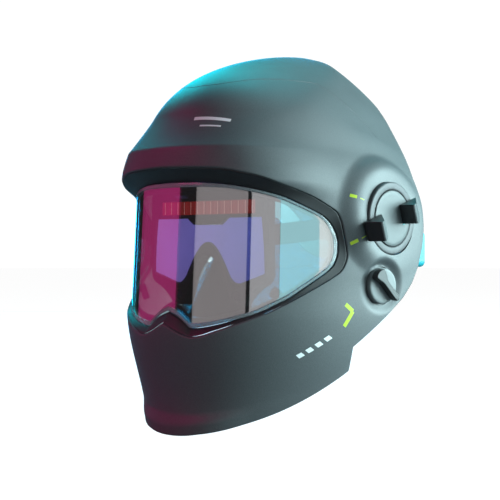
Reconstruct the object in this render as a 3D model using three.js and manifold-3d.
// An auto-darkening welding helmet: a domed shell with a wide clear visor, a darkening filter that a side
// dial swings up inside the shell, a shade knob, and the headgear that the helmet tilts on.
// Millimetres. The helmet faces -Y, +Z is up and the wearer's left is +X. The origin lies between the two
// side pivots, on the axis that the helmet tilts about and the filter flips about.
import * as THREE from "three";
import { mergeVertices } from "three/addons/utils/BufferGeometryUtils.js";
import Module from "manifold-3d";

const wasm = await Module();
wasm.setup();

// ---------------------------------------------------------------- driving dimensions
const GAP = 0.35; // clearance between neighbouring pieces
const CENTRE = new THREE.Vector3(0, 0, -25); // the shell is drawn along rays from this point
const SHELL = {
  midY: 30, // where the plan section is widest
  power: 2.2, // of the plan section's superellipse
  top: 131.2,
  bottom: -158,
  halfWidth: 115,
  chinNarrowing: 32,
  frontLength: 143,
  rearLength: 110,
  wall: 2.8,
};
const FACET = { x: 109.2, y: -15.4, z: -59.1, radius: 230.2, swell: 8 }; // side facets of the rear dome
const BROW = {
  height: 11.3, flareTop: 76, edge: 50.5, edgeShare: 0.88, faceEnd: 36, azimuthFull: 30, azimuthEnd: 68,
};
const REAR_CORNER = { y: -31, top: -92.6, bottom: -110 }; // the upright step at the shell's lower rear
const PIVOT_PAD = { x: 111.2, lean: 0.09, flat: 29, blend: 48 }; // flat leaning pad under each pivot
const VISOR = { halfWidth: 111.5, length: 143.5, wall: 2, widen: 0.03, lengthen: 0.055 };
const DIAL = { ringOuter: 26.5, ringInner: 20.7, top: 113.2, cup: 104, tilt: THREE.MathUtils.degToRad(18) };
const GRIP = {
  width: 14.4, length: 20, front: { start: -33, height: 16 }, rear: { start: 9.4, height: 13.4 },
};
const KNOB = { x: 111.3, y: -9, z: -49, turn: THREE.MathUtils.degToRad(-8.8), radius: 13, dish: 18.4 };
const FILTER = { front: -78.4, depth: 9, halfWidth: 61, top: 24, lobe: -64 };
const BRACKET = { x: 94, thickness: 3, footRadius: 33, footEnd: 103.5 };
const HEAD = { midY: 49, halfWidth: 71, halfLength: 96.5, bandLow: 22, bandHigh: 44 };
const CROWN = { halfWidth: 67, z: 5, rise: 90, power: 2.2, front: 38, rear: 60, width: 17, thickness: 2 };
const SIDE_PLATE = { x: 73.6, thickness: 2.6 };
const BAND_RIVET = { y: 42, z: 33, radius: 3 };
const RATCHET = { y: 136, z: -22, width: 60, height: 31, depth: 13 };

// ---------------------------------------------------------------- colours and finishes
const FINISH = {
  shell: { color: 0x35393c, roughness: 0.62, metalness: 0 },
  trim: { color: 0x17181a, roughness: 0.5, metalness: 0 },
  ring: { color: 0xb4b9be, roughness: 0.35, metalness: 0.6 },
  clear: { color: 0xd8eef2, roughness: 0.05, metalness: 0, transparent: true, opacity: 0.3 },
  filter: { color: 0x7a78bd, roughness: 0.08, metalness: 0.3 },
  solar: { color: 0x5a2020, roughness: 0.3, metalness: 0.1 },
  pad: { color: 0x2a2c2f, roughness: 0.95, metalness: 0 },
  gear: { color: 0x202326, roughness: 0.55, metalness: 0 },
  accent: { color: 0x23a9bb, roughness: 0.45, metalness: 0 },
  steel: { color: 0x9a9da0, roughness: 0.35, metalness: 1 },
  rubber: { color: 0x141414, roughness: 0.9, metalness: 0 },
};

// ---------------------------------------------------------------- small helpers
const helmet = new THREE.Group();
const { clamp, degToRad, lerp } = THREE.MathUtils;

function ease(from, to, value) {
  const t = clamp((value - from) / (to - from), 0, 1);
  return t * t * (3 - 2 * t);
}

function addPart(name, geometry, finish) {
  const mesh = new THREE.Mesh(geometry, new THREE.MeshStandardMaterial(FINISH[finish]));
  mesh.name = name;
  helmet.add(mesh);
  return mesh;
}

// Keeps only position and joins shared vertices, which is what a closed solid needs.
function weld(geometry) {
  const bare = geometry.clone();
  bare.deleteAttribute("normal");
  bare.deleteAttribute("uv");
  return mergeVertices(bare, 1e-4);
}

function signedVolume(geometry) {
  const p = geometry.getAttribute("position");
  const index = geometry.index.array;
  const corner = (i) => new THREE.Vector3().fromBufferAttribute(p, index[i]);
  let volume = 0;
  for (let i = 0; i < index.length; i += 3) {
    volume += corner(i).dot(corner(i + 1).cross(corner(i + 2))) / 6;
  }
  return volume;
}

// A closed geometry from points and triangles, with its faces turned outwards.
function closedGeometry(points, triangles) {
  const geometry = new THREE.BufferGeometry().setFromPoints(points);
  geometry.setIndex(triangles);
  if (signedVolume(geometry) < 0) {
    for (let i = 0; i < triangles.length; i += 3) {
      [triangles[i + 1], triangles[i + 2]] = [triangles[i + 2], triangles[i + 1]];
    }
    geometry.setIndex(triangles);
  }
  geometry.computeVertexNormals();
  return geometry;
}

function toSolid(geometry) {
  const bare = weld(geometry);
  const vertProperties = bare.attributes.position.array;
  const triVerts = new Uint32Array(bare.index.array);
  return new wasm.Manifold(new wasm.Mesh({ numProp: 3, vertProperties, triVerts }));
}

function fromSolid(solid) {
  const { vertProperties, triVerts } = solid.getMesh();
  const geometry = new THREE.BufferGeometry();
  geometry.setAttribute("position", new THREE.BufferAttribute(vertProperties, 3));
  geometry.setIndex(new THREE.BufferAttribute(triVerts, 1));
  geometry.computeVertexNormals();
  return geometry;
}

const join = (...pieces) => fromSolid(pieces.map(toSolid).reduce((a, b) => a.add(b)));
const cut = (body, ...tools) => fromSolid(tools.map(toSolid).reduce((a, b) => a.subtract(b), toSolid(body)));

// Turns local axes (x, y, z) to face along the named world direction.
const FACING = {
  left: [new THREE.Vector3(0, 1, 0), new THREE.Vector3(0, 0, 1), new THREE.Vector3(1, 0, 0)],
  right: [new THREE.Vector3(0, -1, 0), new THREE.Vector3(0, 0, 1), new THREE.Vector3(-1, 0, 0)],
  front: [new THREE.Vector3(1, 0, 0), new THREE.Vector3(0, 0, 1), new THREE.Vector3(0, -1, 0)],
  back: [new THREE.Vector3(-1, 0, 0), new THREE.Vector3(0, 0, 1), new THREE.Vector3(0, 1, 0)],
};

function face(geometry, direction, x = 0, y = 0, z = 0) {
  const turn = new THREE.Matrix4().makeBasis(...FACING[direction]);
  return geometry.applyMatrix4(turn.setPosition(x, y, z));
}

// A round solid about the local Z axis, from [radius, height] pairs that start and end on the axis or close.
function turned(profile, segments = 24) {
  const points = profile.map(([radius, height]) => new THREE.Vector2(radius, height));
  const lathe = weld(new THREE.LatheGeometry(points, segments)).rotateX(Math.PI / 2);
  return signedVolume(lathe) < 0 ? flipped(lathe) : lathe;
}

function flipped(geometry) {
  const index = [...geometry.index.array];
  for (let i = 0; i < index.length; i += 3) {
    [index[i + 1], index[i + 2]] = [index[i + 2], index[i + 1]];
  }
  geometry.setIndex(index);
  return geometry;
}

const disc = (radius, from, to, segments = 24) =>
  turned([[0, from], [radius, from], [radius, to], [0, to]], segments);
const tube = (inner, outer, from, to, segments = 24) =>
  turned([[inner, from], [outer, from], [outer, to], [inner, to], [inner, from]], segments);

function extruded(shape, depth, curveSegments = 6) {
  return new THREE.ExtrudeGeometry(shape, { depth, bevelEnabled: false, curveSegments });
}

// A box with its corners rounded in the local XY plane.
function roundedBox(width, height, depth, radius) {
  const shape = new THREE.Shape();
  const x = width / 2 - radius;
  const y = height / 2 - radius;
  shape.absarc(x, y, radius, 0, Math.PI / 2);
  shape.absarc(-x, y, radius, Math.PI / 2, Math.PI);
  shape.absarc(-x, -y, radius, Math.PI, 1.5 * Math.PI);
  shape.absarc(x, -y, radius, 1.5 * Math.PI, 2 * Math.PI);
  return extruded(shape, depth, 3);
}

function smoothShape(points, divisions) {
  const curve = new THREE.CatmullRomCurve3(
    points.map(([x, y]) => new THREE.Vector3(x, y, 0)), true, "catmullrom", 0.5,
  );
  const outline = curve.getPoints(divisions).slice(0, -1);
  return outline.map((p) => new THREE.Vector2(p.x, p.y));
}

// A flat strap swept along a curve, its width along `up` and its thickness square to both.
function strap(points, up, width, thickness, steps) {
  const curve = new THREE.CatmullRomCurve3(points.map((p) => new THREE.Vector3(...p)));
  const corners = [];
  for (let i = 0; i <= steps; i++) {
    const middle = curve.getPointAt(i / steps);
    const tangent = curve.getTangentAt(i / steps);
    const out = new THREE.Vector3().crossVectors(tangent, up).normalize();
    const across = new THREE.Vector3().crossVectors(out, tangent).normalize();
    for (const [o, a] of [[1, 1], [1, -1], [-1, -1], [-1, 1]]) {
      corners.push(
        middle.clone().addScaledVector(out, (o * thickness) / 2).addScaledVector(across, (a * width) / 2),
      );
    }
  }
  const triangles = [0, 1, 2, 0, 2, 3];
  for (let i = 0; i < steps; i++) {
    for (let k = 0; k < 4; k++) {
      const a = 4 * i + k;
      const b = 4 * i + ((k + 1) % 4);
      triangles.push(a, a + 4, b, b, a + 4, b + 4);
    }
  }
  const last = 4 * steps;
  triangles.push(last, last + 2, last + 1, last, last + 3, last + 2);
  return closedGeometry(corners, triangles);
}

// ---------------------------------------------------------------- the shell's surface
function shellHalfWidth(z) {
  if (z >= 0) return SHELL.halfWidth * (1 - Math.min(z / SHELL.top, 1) ** 2.4) ** 0.9;
  return SHELL.halfWidth - SHELL.chinNarrowing * Math.min(z / SHELL.bottom, 1) ** 3.2;
}

function shellFront(z) {
  if (z >= 0) return SHELL.frontLength * (1 - Math.min(z / SHELL.top, 1) ** 5) ** 0.66;
  const cheek = 4 * ease(0, -60, z) + 6.5 * ease(-45, -72, z);
  return SHELL.frontLength + cheek - 10.3 * ease(-70, -140, z);
}

function shellRear(z) {
  if (z >= 0) return SHELL.rearLength * (1 - Math.min(z / SHELL.top, 1) ** 4) ** 0.5;
  return SHELL.rearLength;
}

// Height of the shell's lower edge, which falls from the rear step to the chin.
function lowerEdge(y) {
  const forward = Math.max(REAR_CORNER.y - y, 0);
  return REAR_CORNER.bottom - 0.56 * forward - 4.5 * Math.sin(Math.PI * Math.min(forward / 81, 1));
}

// The brow flares out ever more steeply down to a crisp edge; its face below that is nearly upright.
function browHeight(x, y, z) {
  const { height, flareTop, edge, edgeShare, faceEnd, azimuthFull, azimuthEnd } = BROW;
  const azimuth = THREE.MathUtils.radToDeg(Math.atan2(Math.abs(x), -y));
  const flare = clamp((flareTop - z) / (flareTop - edge), 0, 1) ** 1.7;
  const face = clamp((edge - z) / (edge - faceEnd), 0, 1);
  const rise = edgeShare * flare + (1 - edgeShare) * face;
  return height * rise * ease(12, 27, z) * ease(azimuthEnd, azimuthFull, azimuth);
}

function lipHeight(y, z) {
  const band = 13 - 6 * ease(-100, -40, y);
  const above = 0.85 * (z - lowerEdge(y));
  return (0.5 + 2.5 * ease(-88, -112, y)) * ease(band, band - 7, above) * ease(-28, -36, y);
}

function outsidePlanSection(p) {
  if (p.z > SHELL.top) return true;
  const proud = browHeight(p.x, p.y, p.z) + lipHeight(p.y, p.z);
  const width = Math.max(shellHalfWidth(p.z) + proud, 1e-3);
  const length = Math.max((p.y < SHELL.midY ? shellFront(p.z) : shellRear(p.z)) + proud, 1e-3);
  const across = (Math.abs(p.x) / width) ** SHELL.power;
  return across + (Math.abs(p.y - SHELL.midY) / length) ** SHELL.power > 1;
}

// The largest value in a range at which the test still says false.
function bisect(low, high, test) {
  for (let i = 0; i < 26; i++) {
    const middle = (low + high) / 2;
    if (test(middle)) high = middle;
    else low = middle;
  }
  return (low + high) / 2;
}

const alongRay = (direction, radius) => CENTRE.clone().addScaledVector(direction, radius);

// Where a ray leaves the large sphere that makes the side facet; side is +1 for the wearer's left.
function facetRadius(direction, side) {
  const offset = new THREE.Vector3(-side * FACET.x, FACET.y, FACET.z).sub(CENTRE);
  const b = direction.dot(offset);
  let radius = SHELL.halfWidth;
  for (let i = 0; i < 6; i++) {
    const height = CENTRE.z + radius * direction.z;
    const sphere = FACET.radius + FACET.swell * ease(75, 10, height);
    radius = b + Math.sqrt(Math.max(b * b - offset.lengthSq() + sphere * sphere, 0));
  }
  return radius;
}

function softMin(a, b, reach) {
  const h = Math.max(reach - Math.abs(a - b), 0) / reach;
  return Math.min(a, b) - (h * h * reach) / 4;
}

function shellRadius(direction) {
  const plain = bisect(20, 260, (r) => outsidePlanSection(alongRay(direction, r)));
  const facets = softMin(facetRadius(direction, 1), facetRadius(direction, -1), 8);
  const height = CENTRE.z + plain * direction.z;
  const radius = softMin(plain, facets, 2 + 18 * ease(85, 50, height));
  return padRadius(direction, radius);
}

// Lifts the shell to the flat pivot pads on both sides.
function padRadius(direction, radius) {
  const p = alongRay(direction, radius);
  const share = ease(PIVOT_PAD.blend, PIVOT_PAD.flat, Math.hypot(p.y, p.z));
  if (share === 0) return radius;
  const { x, lean } = PIVOT_PAD;
  const pad = (x - lean * CENTRE.z) / (Math.abs(direction.x) + lean * direction.z);
  return lerp(radius, pad, share);
}

function visorRadius(direction) {
  return bisect(20, 260, (r) => {
    const p = alongRay(direction, r);
    const across = (Math.abs(p.x) / (VISOR.halfWidth - VISOR.widen * p.z)) ** SHELL.power;
    const along = Math.abs(p.y - SHELL.midY) / (VISOR.length - VISOR.lengthen * p.z);
    return across + along ** SHELL.power > 1;
  });
}

// beta turns about the forward axis from straight up towards the wearer's left; alpha opens from forward.
function rayDirection(beta, alpha) {
  return new THREE.Vector3(
    Math.sin(alpha) * Math.sin(beta), -Math.cos(alpha), Math.sin(alpha) * Math.cos(beta),
  );
}

// ---------------------------------------------------------------- outlines of the openings
// Each outline is (x, z) for the wearer's left half, from the top middle to the bottom middle.
const OPENING_OUTLINE = [
  [0, 36.5], [44, 35], [62, 32], [77, 27], [90, 16.5], [97, 9], [101, 2.5], [103.3, -8], [103.8, -22],
  [103.3, -32], [100.5, -41], [90, -53.6], [80, -63], [69, -70], [45, -80], [24, -85], [0, -76],
];
const GLASS_OUTLINE = [
  [0, 26.2], [29, 25.3], [53, 22.4], [75, 15.8], [89, 6], [95, -1], [98, -10], [99.1, -20], [98.6, -31],
  [95.5, -39.5], [84, -54.7], [73.5, -63.3], [63.5, -69], [42, -76], [24, -79], [18, -76], [10, -71],
  [0, -67.4],
];
const SIDE_EDGE = [
  [100, 110], [82, 98], [70, 87], [60, 70], [50, 52], [44, 36], [42.6, 31], [43, 11], [42, -5], [38.5, -19],
  [31, -36], [24, -47], [13.5, -58], [REAR_CORNER.y, REAR_CORNER.top],
]; // (y, z) of the shell's rear edge, from the crown down to the rear step

function interpolate(table, value) {
  let i = 1;
  while (i < table.length - 1 && table[i][0] < value) i += 1;
  const [a, b] = [table[i - 1], table[i]];
  return a[1] + ((b[1] - a[1]) * (value - a[0])) / (b[0] - a[0]);
}

// Distance from the forward axis to the outline at the turn beta, as a [beta, distance] table.
function polarTable(outline) {
  const curve = new THREE.SplineCurve(outline.map(([x, z]) => new THREE.Vector2(x, z - CENTRE.z)));
  return curve.getPoints(96).map((p) => [Math.atan2(p.x, p.y), p.length()]);
}

const openingTable = polarTable(OPENING_OUTLINE);
const glassTable = polarTable(GLASS_OUTLINE);
const edgeTable = SIDE_EDGE.map(([y, z]) => [z, y]).reverse();

const foldedTurn = (beta) => (beta > Math.PI ? 2 * Math.PI - beta : beta);

function openingAlpha(beta, table, radiusOf) {
  const reach = interpolate(table, foldedTurn(beta));
  return bisect(0.05, 1.75, (alpha) => radiusOf(rayDirection(beta, alpha)) * Math.sin(alpha) > reach);
}

function behindEdge(p) {
  if (p.z < lowerEdge(p.y)) return true;
  const edge = p.z < REAR_CORNER.top ? REAR_CORNER.y : interpolate(edgeTable, p.z);
  return p.y > edge;
}

function edgeAlpha(beta) {
  const passed = (alpha) => {
    const direction = rayDirection(beta, alpha);
    return behindEdge(alongRay(direction, shellRadius(direction)));
  };
  let first = 0.6;
  while (!passed(first)) first += 0.03;
  return bisect(first - 0.03, first, passed);
}

// ---------------------------------------------------------------- solids drawn along the rays
// A closed ring of wall: at each turn beta the rows run from the inner edge to the outer one.
function ringWall(betas, rowsAt) {
  const rows = betas.map(rowsAt);
  const count = rows[0].length;
  const points = [];
  rows.forEach((row, i) => {
    for (const side of ["outer", "inner"]) {
      for (const { alpha, ...radii } of row) {
        points.push(alongRay(rayDirection(betas[i], alpha), radii[side]));
      }
    }
  });
  const triangles = [];
  const quad = (a, b, c, d) => triangles.push(a, b, c, a, c, d);
  betas.forEach((_, i) => {
    const here = 2 * count * i;
    const next = 2 * count * ((i + 1) % betas.length);
    for (let k = 0; k < count - 1; k++) {
      quad(here + k, here + k + 1, next + k + 1, next + k);
      quad(next + count + k, next + count + k + 1, here + count + k + 1, here + count + k);
    }
    quad(here, next, next + count, here + count);
    quad(next + count - 1, here + count - 1, here + 2 * count - 1, next + 2 * count - 1);
  });
  return closedGeometry(points, triangles);
}

// A closed dish of wall around the forward axis, out to each turn's own edge.
function dishWall(betas, edgeAt, rings, radiusOf, wall) {
  const points = [];
  for (const depth of [0, wall]) {
    points.push(alongRay(rayDirection(0, 0), radiusOf(rayDirection(0, 0)) - depth));
    for (const beta of betas) {
      for (let k = 1; k <= rings; k++) {
        const direction = rayDirection(beta, (edgeAt(beta) * k) / rings);
        points.push(alongRay(direction, radiusOf(direction) - depth));
      }
    }
  }
  const half = points.length / 2;
  const at = (i, k) => 1 + (i % betas.length) * rings + k;
  const triangles = [];
  betas.forEach((_, i) => {
    triangles.push(0, at(i, 0), at(i + 1, 0));
    triangles.push(half, half + at(i + 1, 0), half + at(i, 0));
    for (let k = 0; k < rings - 1; k++) {
      const [a, b, c, d] = [at(i, k), at(i, k + 1), at(i + 1, k + 1), at(i + 1, k)];
      triangles.push(a, b, c, a, c, d);
      triangles.push(half + a, half + c, half + b, half + a, half + d, half + c);
    }
    const [a, b] = [at(i, rings - 1), at(i + 1, rings - 1)];
    triangles.push(a, half + a, half + b, a, half + b, b);
  });
  return closedGeometry(points, triangles);
}

// Turns for the shell's columns, with one on each corner of the rear step on both sides.
function shellTurns() {
  const halfWidthThere = (z) => {
    const along = Math.abs(REAR_CORNER.y - SHELL.midY) / shellFront(z);
    return shellHalfWidth(z) * (1 - along ** SHELL.power) ** (1 / SHELL.power);
  };
  const cornerTurn = (z) => Math.atan2(halfWidthThere(z), z - CENTRE.z);
  const stops = [0, cornerTurn(REAR_CORNER.top), cornerTurn(REAR_CORNER.bottom), Math.PI];
  const counts = [16, 2, 7];
  const left = [];
  counts.forEach((count, s) => {
    for (let i = 0; i < count; i++) left.push(lerp(stops[s], stops[s + 1], i / count));
  });
  const right = left.slice(1).reverse().map((beta) => 2 * Math.PI - beta);
  return [...left, Math.PI, ...right];
}

// ---------------------------------------------------------------- helmet: shell, visor and trim
function knobFrame(geometry) {
  return face(geometry, "left").rotateZ(KNOB.turn).translate(KNOB.x, KNOB.y, KNOB.z);
}

function helmetShell() {
  const rows = 10;
  const wall = ringWall(shellTurns(), (beta) => {
    const start = openingAlpha(beta, openingTable, shellRadius);
    const end = edgeAlpha(beta);
    return Array.from({ length: rows }, (_, k) => {
      const alpha = lerp(start, end, (k / (rows - 1)) ** 1.4);
      const outer = shellRadius(rayDirection(beta, alpha));
      return { alpha, outer, inner: outer - SHELL.wall };
    });
  });
  const pivotHole = (side) => face(disc(DIAL.ringOuter + GAP, 90, 130, 32), side);
  const knobHole = knobFrame(disc(KNOB.dish - 1, -12, 12));
  const opened = cut(wall, pivotHole("left"), pivotHole("right"), knobHole);
  const dish = turned([
    [3.6, -4], [14.5, -4], [KNOB.dish, 0.2], [KNOB.dish + 1, -0.6], [KNOB.dish + 0.4, -4.5], [15, -6],
    [3.6, -6], [3.6, -4],
  ]);
  return join(opened, knobFrame(dish));
}

function visorBezel() {
  const clearance = 0.5 / 120; // half a millimetre seen from the centre
  const bed = (beta) => openingAlpha(beta, glassTable, visorRadius) + clearance;
  return ringWall(shellTurns(), (beta) => {
    const inner = bed(beta);
    const outer = openingAlpha(beta, openingTable, shellRadius) - clearance;
    const shellThere = shellRadius(rayDirection(beta, outer)) - 0.3;
    return [0, 0.45, 1].map((t) => {
      const alpha = lerp(inner, outer, t);
      const lens = visorRadius(rayDirection(beta, alpha)) + 0.5;
      const front = lerp(lens, Math.max(shellThere, lens), t ** 1.3);
      return { alpha, outer: front, inner: front - 2.8 };
    });
  });
}

function coverLens() {
  const clearance = 0.5 / 120;
  const edge = (beta) => openingAlpha(beta, glassTable, visorRadius) - clearance;
  return dishWall(shellTurns(), edge, 4, visorRadius, VISOR.wall);
}

function lensSeal() {
  const bead = 1.2;
  return ringWall(shellTurns(), (beta) => {
    const edge = openingAlpha(beta, glassTable, visorRadius);
    return [0.045, 0.014].map((inset) => {
      const alpha = edge - inset;
      const outer = visorRadius(rayDirection(beta, alpha)) - VISOR.wall - 3 * GAP;
      return { alpha, outer, inner: outer - bead };
    });
  });
}

// A small hook behind the visor's edge, centred on a turn about the forward axis.
function lensClip(beta) {
  const reach = openingAlpha(foldedTurn(beta), glassTable, visorRadius) - 0.03;
  const direction = rayDirection(beta, reach);
  const radius = visorRadius(direction) - VISOR.wall - 2 - 5 * GAP - 3.2;
  const block = roundedBox(13, 7, 5, 1.5).translate(0, 0, -2.5);
  const turn = new THREE.Quaternion().setFromUnitVectors(new THREE.Vector3(0, 0, 1), direction);
  const place = alongRay(direction, radius);
  return block.applyQuaternion(turn).translate(place.x, place.y, place.z);
}

// ---------------------------------------------------------------- helmet: pivots and brackets
function pivotRing(side) {
  const { ringOuter, ringInner, top, cup } = DIAL;
  return face(turned([
    [8.5, cup], [ringOuter, cup], [ringOuter, top - 1], [ringOuter - 1.5, top], [ringInner + 0.6, top],
    [ringInner, top - 0.8], [ringInner, cup + 2.5], [8.5, cup + 2.5], [8.5, cup],
  ], 32), side);
}

const FOOT_ANGLES = [25, -20, -65];

// A bridge plate over the filter's arm, standing on three legs: it carries the headgear's stud.
function bridgeBracket(side) {
  const { x, thickness, footRadius, footEnd } = BRACKET;
  const hub = disc(14, x, x + thickness);
  const legs = FOOT_ANGLES.map((degrees) => {
    const spoke = roundedBox(footRadius + 4, 9, thickness, 3).translate((footRadius + 4) / 2, 0, x);
    const post = disc(4.5, x, footEnd, 12).translate(footRadius, 0, 0);
    const hole = disc(1.9, x - 1, footEnd + 1, 8).translate(footRadius, 0, 0);
    return cut(join(spoke, post), hole).rotateZ(degToRad(side === "left" ? degrees : 180 - degrees));
  });
  return face(cut(join(hub, ...legs), disc(5.3, x - 1, x + thickness + 1)), side);
}

function bracketScrew(side, degrees) {
  const { x, footRadius, footEnd } = BRACKET;
  const screw = turned([
    [0, x - 2.4], [3.4, x - 2.4], [3.4, x - GAP], [1.5, x - GAP], [1.5, footEnd], [0, footEnd],
  ], 10);
  screw.translate(footRadius, 0, 0).rotateZ(degToRad(side === "left" ? degrees : 180 - degrees));
  return face(screw, side);
}

function potentiometer() {
  return knobFrame(join(roundedBox(17, 17, 7, 2).translate(0, 0, -16), disc(2.2, -16, -8.4, 16)));
}

// ---------------------------------------------------------------- shade knob
function shadeKnob() {
  return knobFrame(turned([
    [0, -3.6], [KNOB.radius, -3.6], [KNOB.radius, -0.2], [KNOB.radius - 0.8, 0.6], [0, 0.6],
  ], 40));
}

function shadeSpindle() {
  return knobFrame(disc(3, -8, -3.6 - GAP, 20));
}

// A raised finger bar across the knob, with a wider head at its pointer end.
function shadeGrip() {
  const outline = smoothShape([
    [-12.6, -2.3], [-12.6, 2.3], [4, 2.3], [9, 3.4], [13, 3.7], [14.2, -1], [11.8, -5.4], [7, -4.4],
    [2, -2.3],
  ], 40);
  const bar = extruded(new THREE.Shape(outline), 6).translate(0, 0, 0.6 + GAP);
  return knobFrame(bar.rotateZ(degToRad(135)));
}

// ---------------------------------------------------------------- filter that flips up
function filterOutline(inset) {
  const { halfWidth, top, lobe } = FILTER;
  const w = halfWidth - inset;
  const shape = new THREE.Shape();
  shape.moveTo(-w + 8, top - inset);
  shape.lineTo(w - 8, top - inset);
  shape.quadraticCurveTo(w, top - inset, w, top - 10);
  shape.lineTo(w, -40);
  shape.quadraticCurveTo(w, -47 + inset, w - 7, -49 + inset);
  shape.quadraticCurveTo(w - 18, -54 + inset, w - 25, lobe + inset);
  shape.lineTo(25 + inset, lobe + inset);
  shape.quadraticCurveTo(14, -27 + inset, 0, -27 + inset);
  shape.quadraticCurveTo(-14, -27 + inset, -25 - inset, lobe + inset);
  shape.lineTo(-w + 25, lobe + inset);
  shape.quadraticCurveTo(-w + 18, -54 + inset, -w + 7, -49 + inset);
  shape.quadraticCurveTo(-w, -47 + inset, -w, -40);
  shape.lineTo(-w, top - 10);
  shape.quadraticCurveTo(-w, top - inset, -w + 8, top - inset);
  return shape;
}

// The dark window, with a notch for the nose and a tab under the solar strip.
function windowOutline(inset, Kind = THREE.Shape) {
  const shape = new Kind();
  const top = 1 - inset;
  shape.moveTo(-56 + inset, top);
  shape.lineTo(-21.5 - inset, top);
  shape.lineTo(-14.5 - inset, top - 5);
  shape.lineTo(14.5 + inset, top - 5);
  shape.lineTo(21.5 + inset, top);
  shape.lineTo(56 - inset, top);
  shape.quadraticCurveTo(59 - inset, -20, 59 - inset, -40 + inset);
  shape.lineTo(34, -47.5 + inset);
  shape.quadraticCurveTo(25 + inset, -49 + inset, 20 + inset, -38);
  shape.quadraticCurveTo(8 + inset, -17 + inset, 0, -17 + inset);
  shape.quadraticCurveTo(-8 - inset, -17 + inset, -20 - inset, -38);
  shape.quadraticCurveTo(-25 - inset, -49 + inset, -34, -47.5 + inset);
  shape.lineTo(-59 + inset, -40 + inset);
  shape.quadraticCurveTo(-59 + inset, -20, -56 + inset, top);
  return shape;
}

const SOLAR = { halfWidth: 50, low: 3.2, high: 13.8 };
const TRAY = { x: 50, z: 18.8, width: 17, height: 4.6, depth: 5.4 };
const TEST_BUTTON = { z: 18.8, radius: 3.2 };

function inFilter(geometry, behindFront) {
  return face(geometry, "front", 0, FILTER.front + behindFront, 0);
}

function filterHousing() {
  const body = extruded(filterOutline(0), FILTER.depth).translate(0, 0, -FILTER.depth);
  const window = extruded(windowOutline(0), 20).translate(0, 0, -15);
  const strip = roundedBox(2 * SOLAR.halfWidth, SOLAR.high - SOLAR.low, 4, 1);
  strip.translate(0, (SOLAR.high + SOLAR.low) / 2, -2.6);
  const slots = [1, -1].map((side) => {
    const slot = new THREE.BoxGeometry(TRAY.width + 6, TRAY.height + 2 * GAP, TRAY.depth + 2 * GAP);
    return slot.translate(side * (TRAY.x + 3), TRAY.z, -FILTER.depth / 2);
  });
  const buttonHole = disc(TEST_BUTTON.radius + GAP, -12, -3, 20).translate(0, TEST_BUTTON.z, 0);
  const sensors = [1, -1].map((side) => disc(4.4, -3, 3, 20).translate(side * 31, -56.5, 0));
  return inFilter(cut(body, window, strip, ...slots, buttonHole, ...sensors), 0);
}

function filterGlass() {
  return inFilter(extruded(windowOutline(GAP), 3).translate(0, 0, -5), 0);
}

function solarPanel() {
  const width = 2 * (SOLAR.halfWidth - GAP);
  const height = SOLAR.high - SOLAR.low - 2 * GAP;
  return inFilter(roundedBox(width, height, 1.6, 0.7).translate(0, (SOLAR.high + SOLAR.low) / 2, -2.2), 0);
}

function filterSensor(side) {
  return inFilter(disc(4, -2.6, -0.4, 20).translate(side * 31, -56.5, 0), 0);
}

// Clear plate clipped behind the window, towards the wearer's eyes.
function innerCoverPlate() {
  const shape = windowOutline(-1.5);
  return inFilter(extruded(shape, 1.2).translate(0, 0, -FILTER.depth - GAP - 1.2), 0);
}

function batteryTray(side) {
  const tray = roundedBox(TRAY.width, TRAY.height, TRAY.depth, 0.8);
  tray.translate(side * (TRAY.x + 1.6), TRAY.z, 0);
  return inFilter(tray, FILTER.depth / 2 + TRAY.depth / 2);
}

function testButton() {
  return inFilter(disc(TEST_BUTTON.radius, -FILTER.depth - 1.6, -5, 20).translate(0, TEST_BUTTON.z, 0), 0);
}

// The arm from the dial's shaft forward to the filter's side.
function filterArm(side) {
  const sign = side === "left" ? 1 : -1;
  const hub = face(tube(5.3, 13, 100.4, 103), side);
  const outside = FILTER.halfWidth + GAP + 1.3;
  const route = [
    [101.7, -9, -3], [100.6, -22, -4], [93.6, -40, -6], [82.5, -56, -9], [71, -67, -11], [outside, -73, -12],
    [outside, -79, -12],
  ];
  const points = route.map(([x, y, z]) => [sign * x, y, z]);
  return join(hub, strap(points, new THREE.Vector3(0, 0, 1), 15, 2.4, 14));
}

function flipShaft(top) {
  const seat = DIAL.cup + 2.5 + GAP;
  return turned([
    [0, 99.6], [5, 99.6], [5, 103.2], [8, 103.4], [8, seat], [DIAL.ringInner - GAP, seat],
    [DIAL.ringInner - GAP, top - 0.6], [DIAL.ringInner - 1, top], [0, top],
  ], 32);
}

// One of the dial's two finger wedges: upright at its front end, with a short flat top and a long ramp.
function dialGrip({ start, height }) {
  const { width, length } = GRIP;
  const shape = new THREE.Shape();
  shape.moveTo(start, 0);
  shape.lineTo(start, height - 1);
  shape.lineTo(start + 1, height);
  shape.lineTo(start + 4, height - 0.6);
  shape.lineTo(start + length, 1);
  shape.lineTo(start + length, 0);
  const wedge = extruded(shape, width).translate(0, 0, -width / 2).rotateX(Math.PI / 2);
  wedge.rotateZ(DIAL.tilt);
  return face(wedge.translate(0, 0, DIAL.top + 0.3 + GAP), "left");
}

// ---------------------------------------------------------------- headgear
// A point on the oval around the head, at an angle from straight ahead towards the wearer's left.
function headOval(degrees, grow = 0) {
  const angle = degToRad(degrees);
  const x = (HEAD.halfWidth + grow) * Math.sin(angle);
  return [x, HEAD.midY - (HEAD.halfLength + grow) * Math.cos(angle)];
}

function ovalRoute(from, to, steps, grow, heightAt) {
  return Array.from({ length: steps + 1 }, (_, i) => {
    const degrees = lerp(from, to, i / steps);
    return [...headOval(degrees, grow), heightAt(degrees)];
  });
}

const UP = new THREE.Vector3(0, 0, 1);
const BAND_MIDDLE = (HEAD.bandLow + HEAD.bandHigh) / 2;

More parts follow.
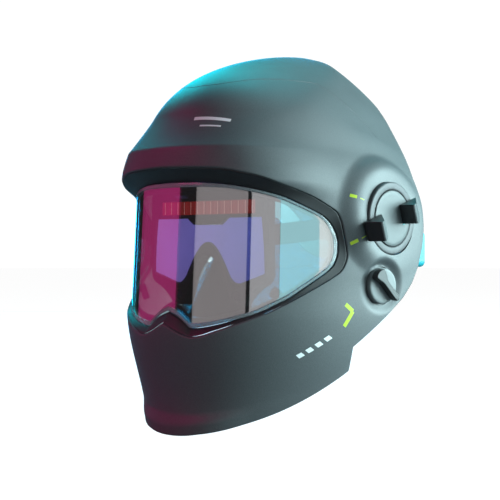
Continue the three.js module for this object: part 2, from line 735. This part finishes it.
function frontBand() {
  const height = HEAD.bandHigh - HEAD.bandLow;
  return strap(ovalRoute(-98, 98, 20, 0, () => BAND_MIDDLE), UP, height, 2, 36);
}

function sweatband() {
  return strap(ovalRoute(-62, 62, 14, -3.9, () => BAND_MIDDLE), UP, 26, 4.6, 24);
}

// The plate on each side that joins the stud, the front band, the crown straps and the rear band.
function sidePlate(side) {
  const sign = side === "left" ? 1 : -1;
  const outline = smoothShape([
    [-13, 0], [-8, 12], [10, 20], [28, 36], [39, 42], [52, 41], [62, 31], [64, 18], [56, 6], [30, 2],
    [12, -9], [0, -13],
  ], 40);
  const mirrored = outline.map((p) => new THREE.Vector2(sign * p.x, p.y));
  const plate = extruded(new THREE.Shape(mirrored), SIDE_PLATE.thickness).translate(0, 0, SIDE_PLATE.x);
  const rivetHole = disc(BAND_RIVET.radius + GAP, 70, 90, 16).translate(sign * BAND_RIVET.y, BAND_RIVET.z, 0);
  return face(cut(plate, disc(5.3, 70, 90, 24), rivetHole), side);
}

// Headed stud through the side plate; its collar keeps the helmet's bracket on.
function pivotStud(side) {
  const { x, thickness } = SIDE_PLATE;
  const far = BRACKET.x + BRACKET.thickness + GAP;
  return face(turned([
    [0, x - 2.6], [9, x - 2.6], [9, x - GAP], [5, x - GAP], [5, far], [7.4, far],
    [7.4, far + 1.2], [0, far + 1.2],
  ]), side);
}

// Snap rivet that holds the front band on the side plate.
function bandRivet(side) {
  const { y, z, radius } = BAND_RIVET;
  const outside = SIDE_PLATE.x + SIDE_PLATE.thickness + GAP;
  const inside = HEAD.halfWidth + 1 + GAP;
  const profile = [
    [0, inside], [radius, inside], [radius, outside], [6, outside], [5, outside + 1.6], [0, outside + 1.6],
  ];
  return face(turned(profile, 16).translate(side === "left" ? y : -y, z, 0), side);
}

function tiltBush(side) {
  return face(tube(5.3, 11.5, SIDE_PLATE.x + SIDE_PLATE.thickness + GAP, BRACKET.x - GAP), side);
}

// A strap over the head from side to side; its ends lie inside the front band.
function crownStrap(y) {
  const { halfWidth, z, rise, power, width, thickness } = CROWN;
  const route = Array.from({ length: 17 }, (_, i) => {
    const angle = degToRad(lerp(-74, 74, i / 16));
    const height = Math.cos(angle);
    const across = (1 - height ** power) ** (1 / power);
    return [Math.sign(angle) * halfWidth * across, y, z + rise * height];
  });
  return strap(route, new THREE.Vector3(0, 1, 0), width, thickness, 24);
}

function crownBridge() {
  const height = CROWN.z + CROWN.rise + CROWN.thickness + GAP;
  const route = [[0, CROWN.front - 6, height], [0, (CROWN.front + CROWN.rear) / 2, height + 0.6],
    [0, CROWN.rear + 6, height]];
  return strap(route, new THREE.Vector3(1, 0, 0), 18, CROWN.thickness, 4);
}

// Half of the rear band: it slides along the side plate and runs down to the ratchet housing.
function rearBand(sign) {
  const fall = (degrees) => lerp(14, RATCHET.z, ease(100, 132, degrees));
  const end = 180 - THREE.MathUtils.radToDeg(Math.asin((RATCHET.width / 2 + 1) / HEAD.halfWidth));
  const route = ovalRoute(86, end, 14, -1.2, fall).map(([x, y, z]) => [sign * x, y, z]);
  return strap(route, UP, 15, 2, 24);
}

function napePad() {
  const route = Array.from({ length: 7 }, (_, i) => {
    const x = lerp(-30, 30, i / 6);
    return [x, RATCHET.y - 5.6 - 0.0016 * x * x, RATCHET.z];
  });
  return strap(route, UP, 36, 5, 12);
}

function ratchetBase() {
  return face(roundedBox(RATCHET.width, RATCHET.height, 2.4, 5), "back", 0, RATCHET.y, RATCHET.z);
}

function ratchetHousing() {
  const { width, height, depth } = RATCHET;
  const body = roundedBox(width, height, depth, 5);
  const inside = roundedBox(width - 5, height - 5, depth, 3).translate(0, 0, -2.4);
  const hole = disc(4.4, -1, depth + 1, 24);
  return face(cut(body, inside, hole), "back", 0, RATCHET.y + 2.4 + GAP, RATCHET.z);
}

function ratchetKnob() {
  const start = RATCHET.y + 2.4 + RATCHET.depth + 2 * GAP;
  const shape = new THREE.Shape();
  const lobes = 12;
  for (let i = 0; i < 5 * lobes; i++) {
    const angle = (2 * Math.PI * i) / (5 * lobes);
    const radius = 16.4 + 0.7 * Math.cos(lobes * angle);
    shape[i === 0 ? "moveTo" : "lineTo"](radius * Math.cos(angle), radius * Math.sin(angle));
  }
  const grip = extruded(shape, 9);
  const stem = disc(4, -(RATCHET.depth - 3.2), 1, 24);
  return face(join(grip, stem), "back", 0, start, RATCHET.z);
}

function ratchetPinion() {
  const shape = new THREE.Shape();
  const teeth = 10;
  for (let i = 0; i < 4 * teeth; i++) {
    const angle = (2 * Math.PI * i) / (4 * teeth);
    const radius = i % 4 < 2 ? 6.4 : 4.6;
    shape[i === 0 ? "moveTo" : "lineTo"](radius * Math.cos(angle), radius * Math.sin(angle));
  }
  return face(extruded(shape, 2.4), "back", 0, RATCHET.y + 2.4 + 1.2, RATCHET.z);
}

// The toothed end of a rear band inside the ratchet housing, above or below the pinion.
function bandRack(sign) {
  const rack = new THREE.BoxGeometry(32, 3.4, 1.6).translate(sign * 9, sign * 8.6, 2.4);
  return face(rack, "back", 0, RATCHET.y + 2.4, RATCHET.z);
}

// ---------------------------------------------------------------- assembly
addPart("helmet_shell", helmetShell(), "shell");
addPart("visor_bezel", visorBezel(), "trim");
addPart("cover_lens", coverLens(), "clear");
addPart("lens_seal", lensSeal(), "rubber");
for (const [name, degrees] of [["left", 113], ["right", 247], ["top", 0]]) {
  addPart(`lens_clip_${name}`, lensClip(degToRad(degrees)), "trim");
}
for (const side of ["left", "right"]) {
  addPart(side === "left" ? "dial_ring" : "pivot_ring_right", pivotRing(side), "ring");
  addPart(`bridge_bracket_${side}`, bridgeBracket(side), "trim");
  FOOT_ANGLES.forEach((degrees, i) => {
    addPart(`bracket_screw_${side}_${i + 1}`, bracketScrew(side, degrees), "steel");
  });
}
addPart("shade_potentiometer", potentiometer(), "trim");

addPart("shade_knob", shadeKnob(), "shell");
addPart("shade_grip", shadeGrip(), "trim");
addPart("shade_spindle", shadeSpindle(), "steel");

addPart("filter_housing", filterHousing(), "trim");
addPart("filter_glass", filterGlass(), "filter");
addPart("solar_panel", solarPanel(), "solar");
addPart("inner_cover_plate", innerCoverPlate(), "clear");
addPart("test_button", testButton(), "accent");
addPart("flip_dial", face(flipShaft(DIAL.top + 0.3), "left"), "shell");
addPart("flip_cap_right", face(flipShaft(DIAL.top + 0.3), "right"), "shell");
addPart("dial_grip_front", dialGrip(GRIP.front), "trim");
addPart("dial_grip_rear", dialGrip(GRIP.rear), "trim");
for (const [side, sign] of [["left", 1], ["right", -1]]) {
  addPart(`filter_arm_${side}`, filterArm(side), "trim");
  addPart(`light_sensor_${side}`, filterSensor(sign), "filter");
  addPart(`battery_tray_${side}`, batteryTray(sign), "trim");
}

addPart("front_band", frontBand(), "gear");
addPart("sweatband", sweatband(), "pad");
addPart("crown_strap_front", crownStrap(CROWN.front), "gear");
addPart("crown_strap_rear", crownStrap(CROWN.rear), "gear");
addPart("crown_bridge", crownBridge(), "gear");
for (const side of ["left", "right"]) {
  addPart(`side_plate_${side}`, sidePlate(side), "gear");
  addPart(`pivot_stud_${side}`, pivotStud(side), "steel");
  addPart(`tilt_bush_${side}`, tiltBush(side), "rubber");
  addPart(`band_rivet_${side}`, bandRivet(side), "steel");
}

for (const [side, sign] of [["left", 1], ["right", -1]]) {
  addPart(`rear_band_${side}`, rearBand(sign), "accent");
  addPart(`band_rack_${side}`, bandRack(sign), "gear");
}
addPart("ratchet_base", ratchetBase(), "gear");
addPart("ratchet_housing", ratchetHousing(), "accent");
addPart("nape_pad", napePad(), "pad");
addPart("ratchet_knob", ratchetKnob(), "trim");
addPart("ratchet_pinion", ratchetPinion(), "trim");

export default helmet;
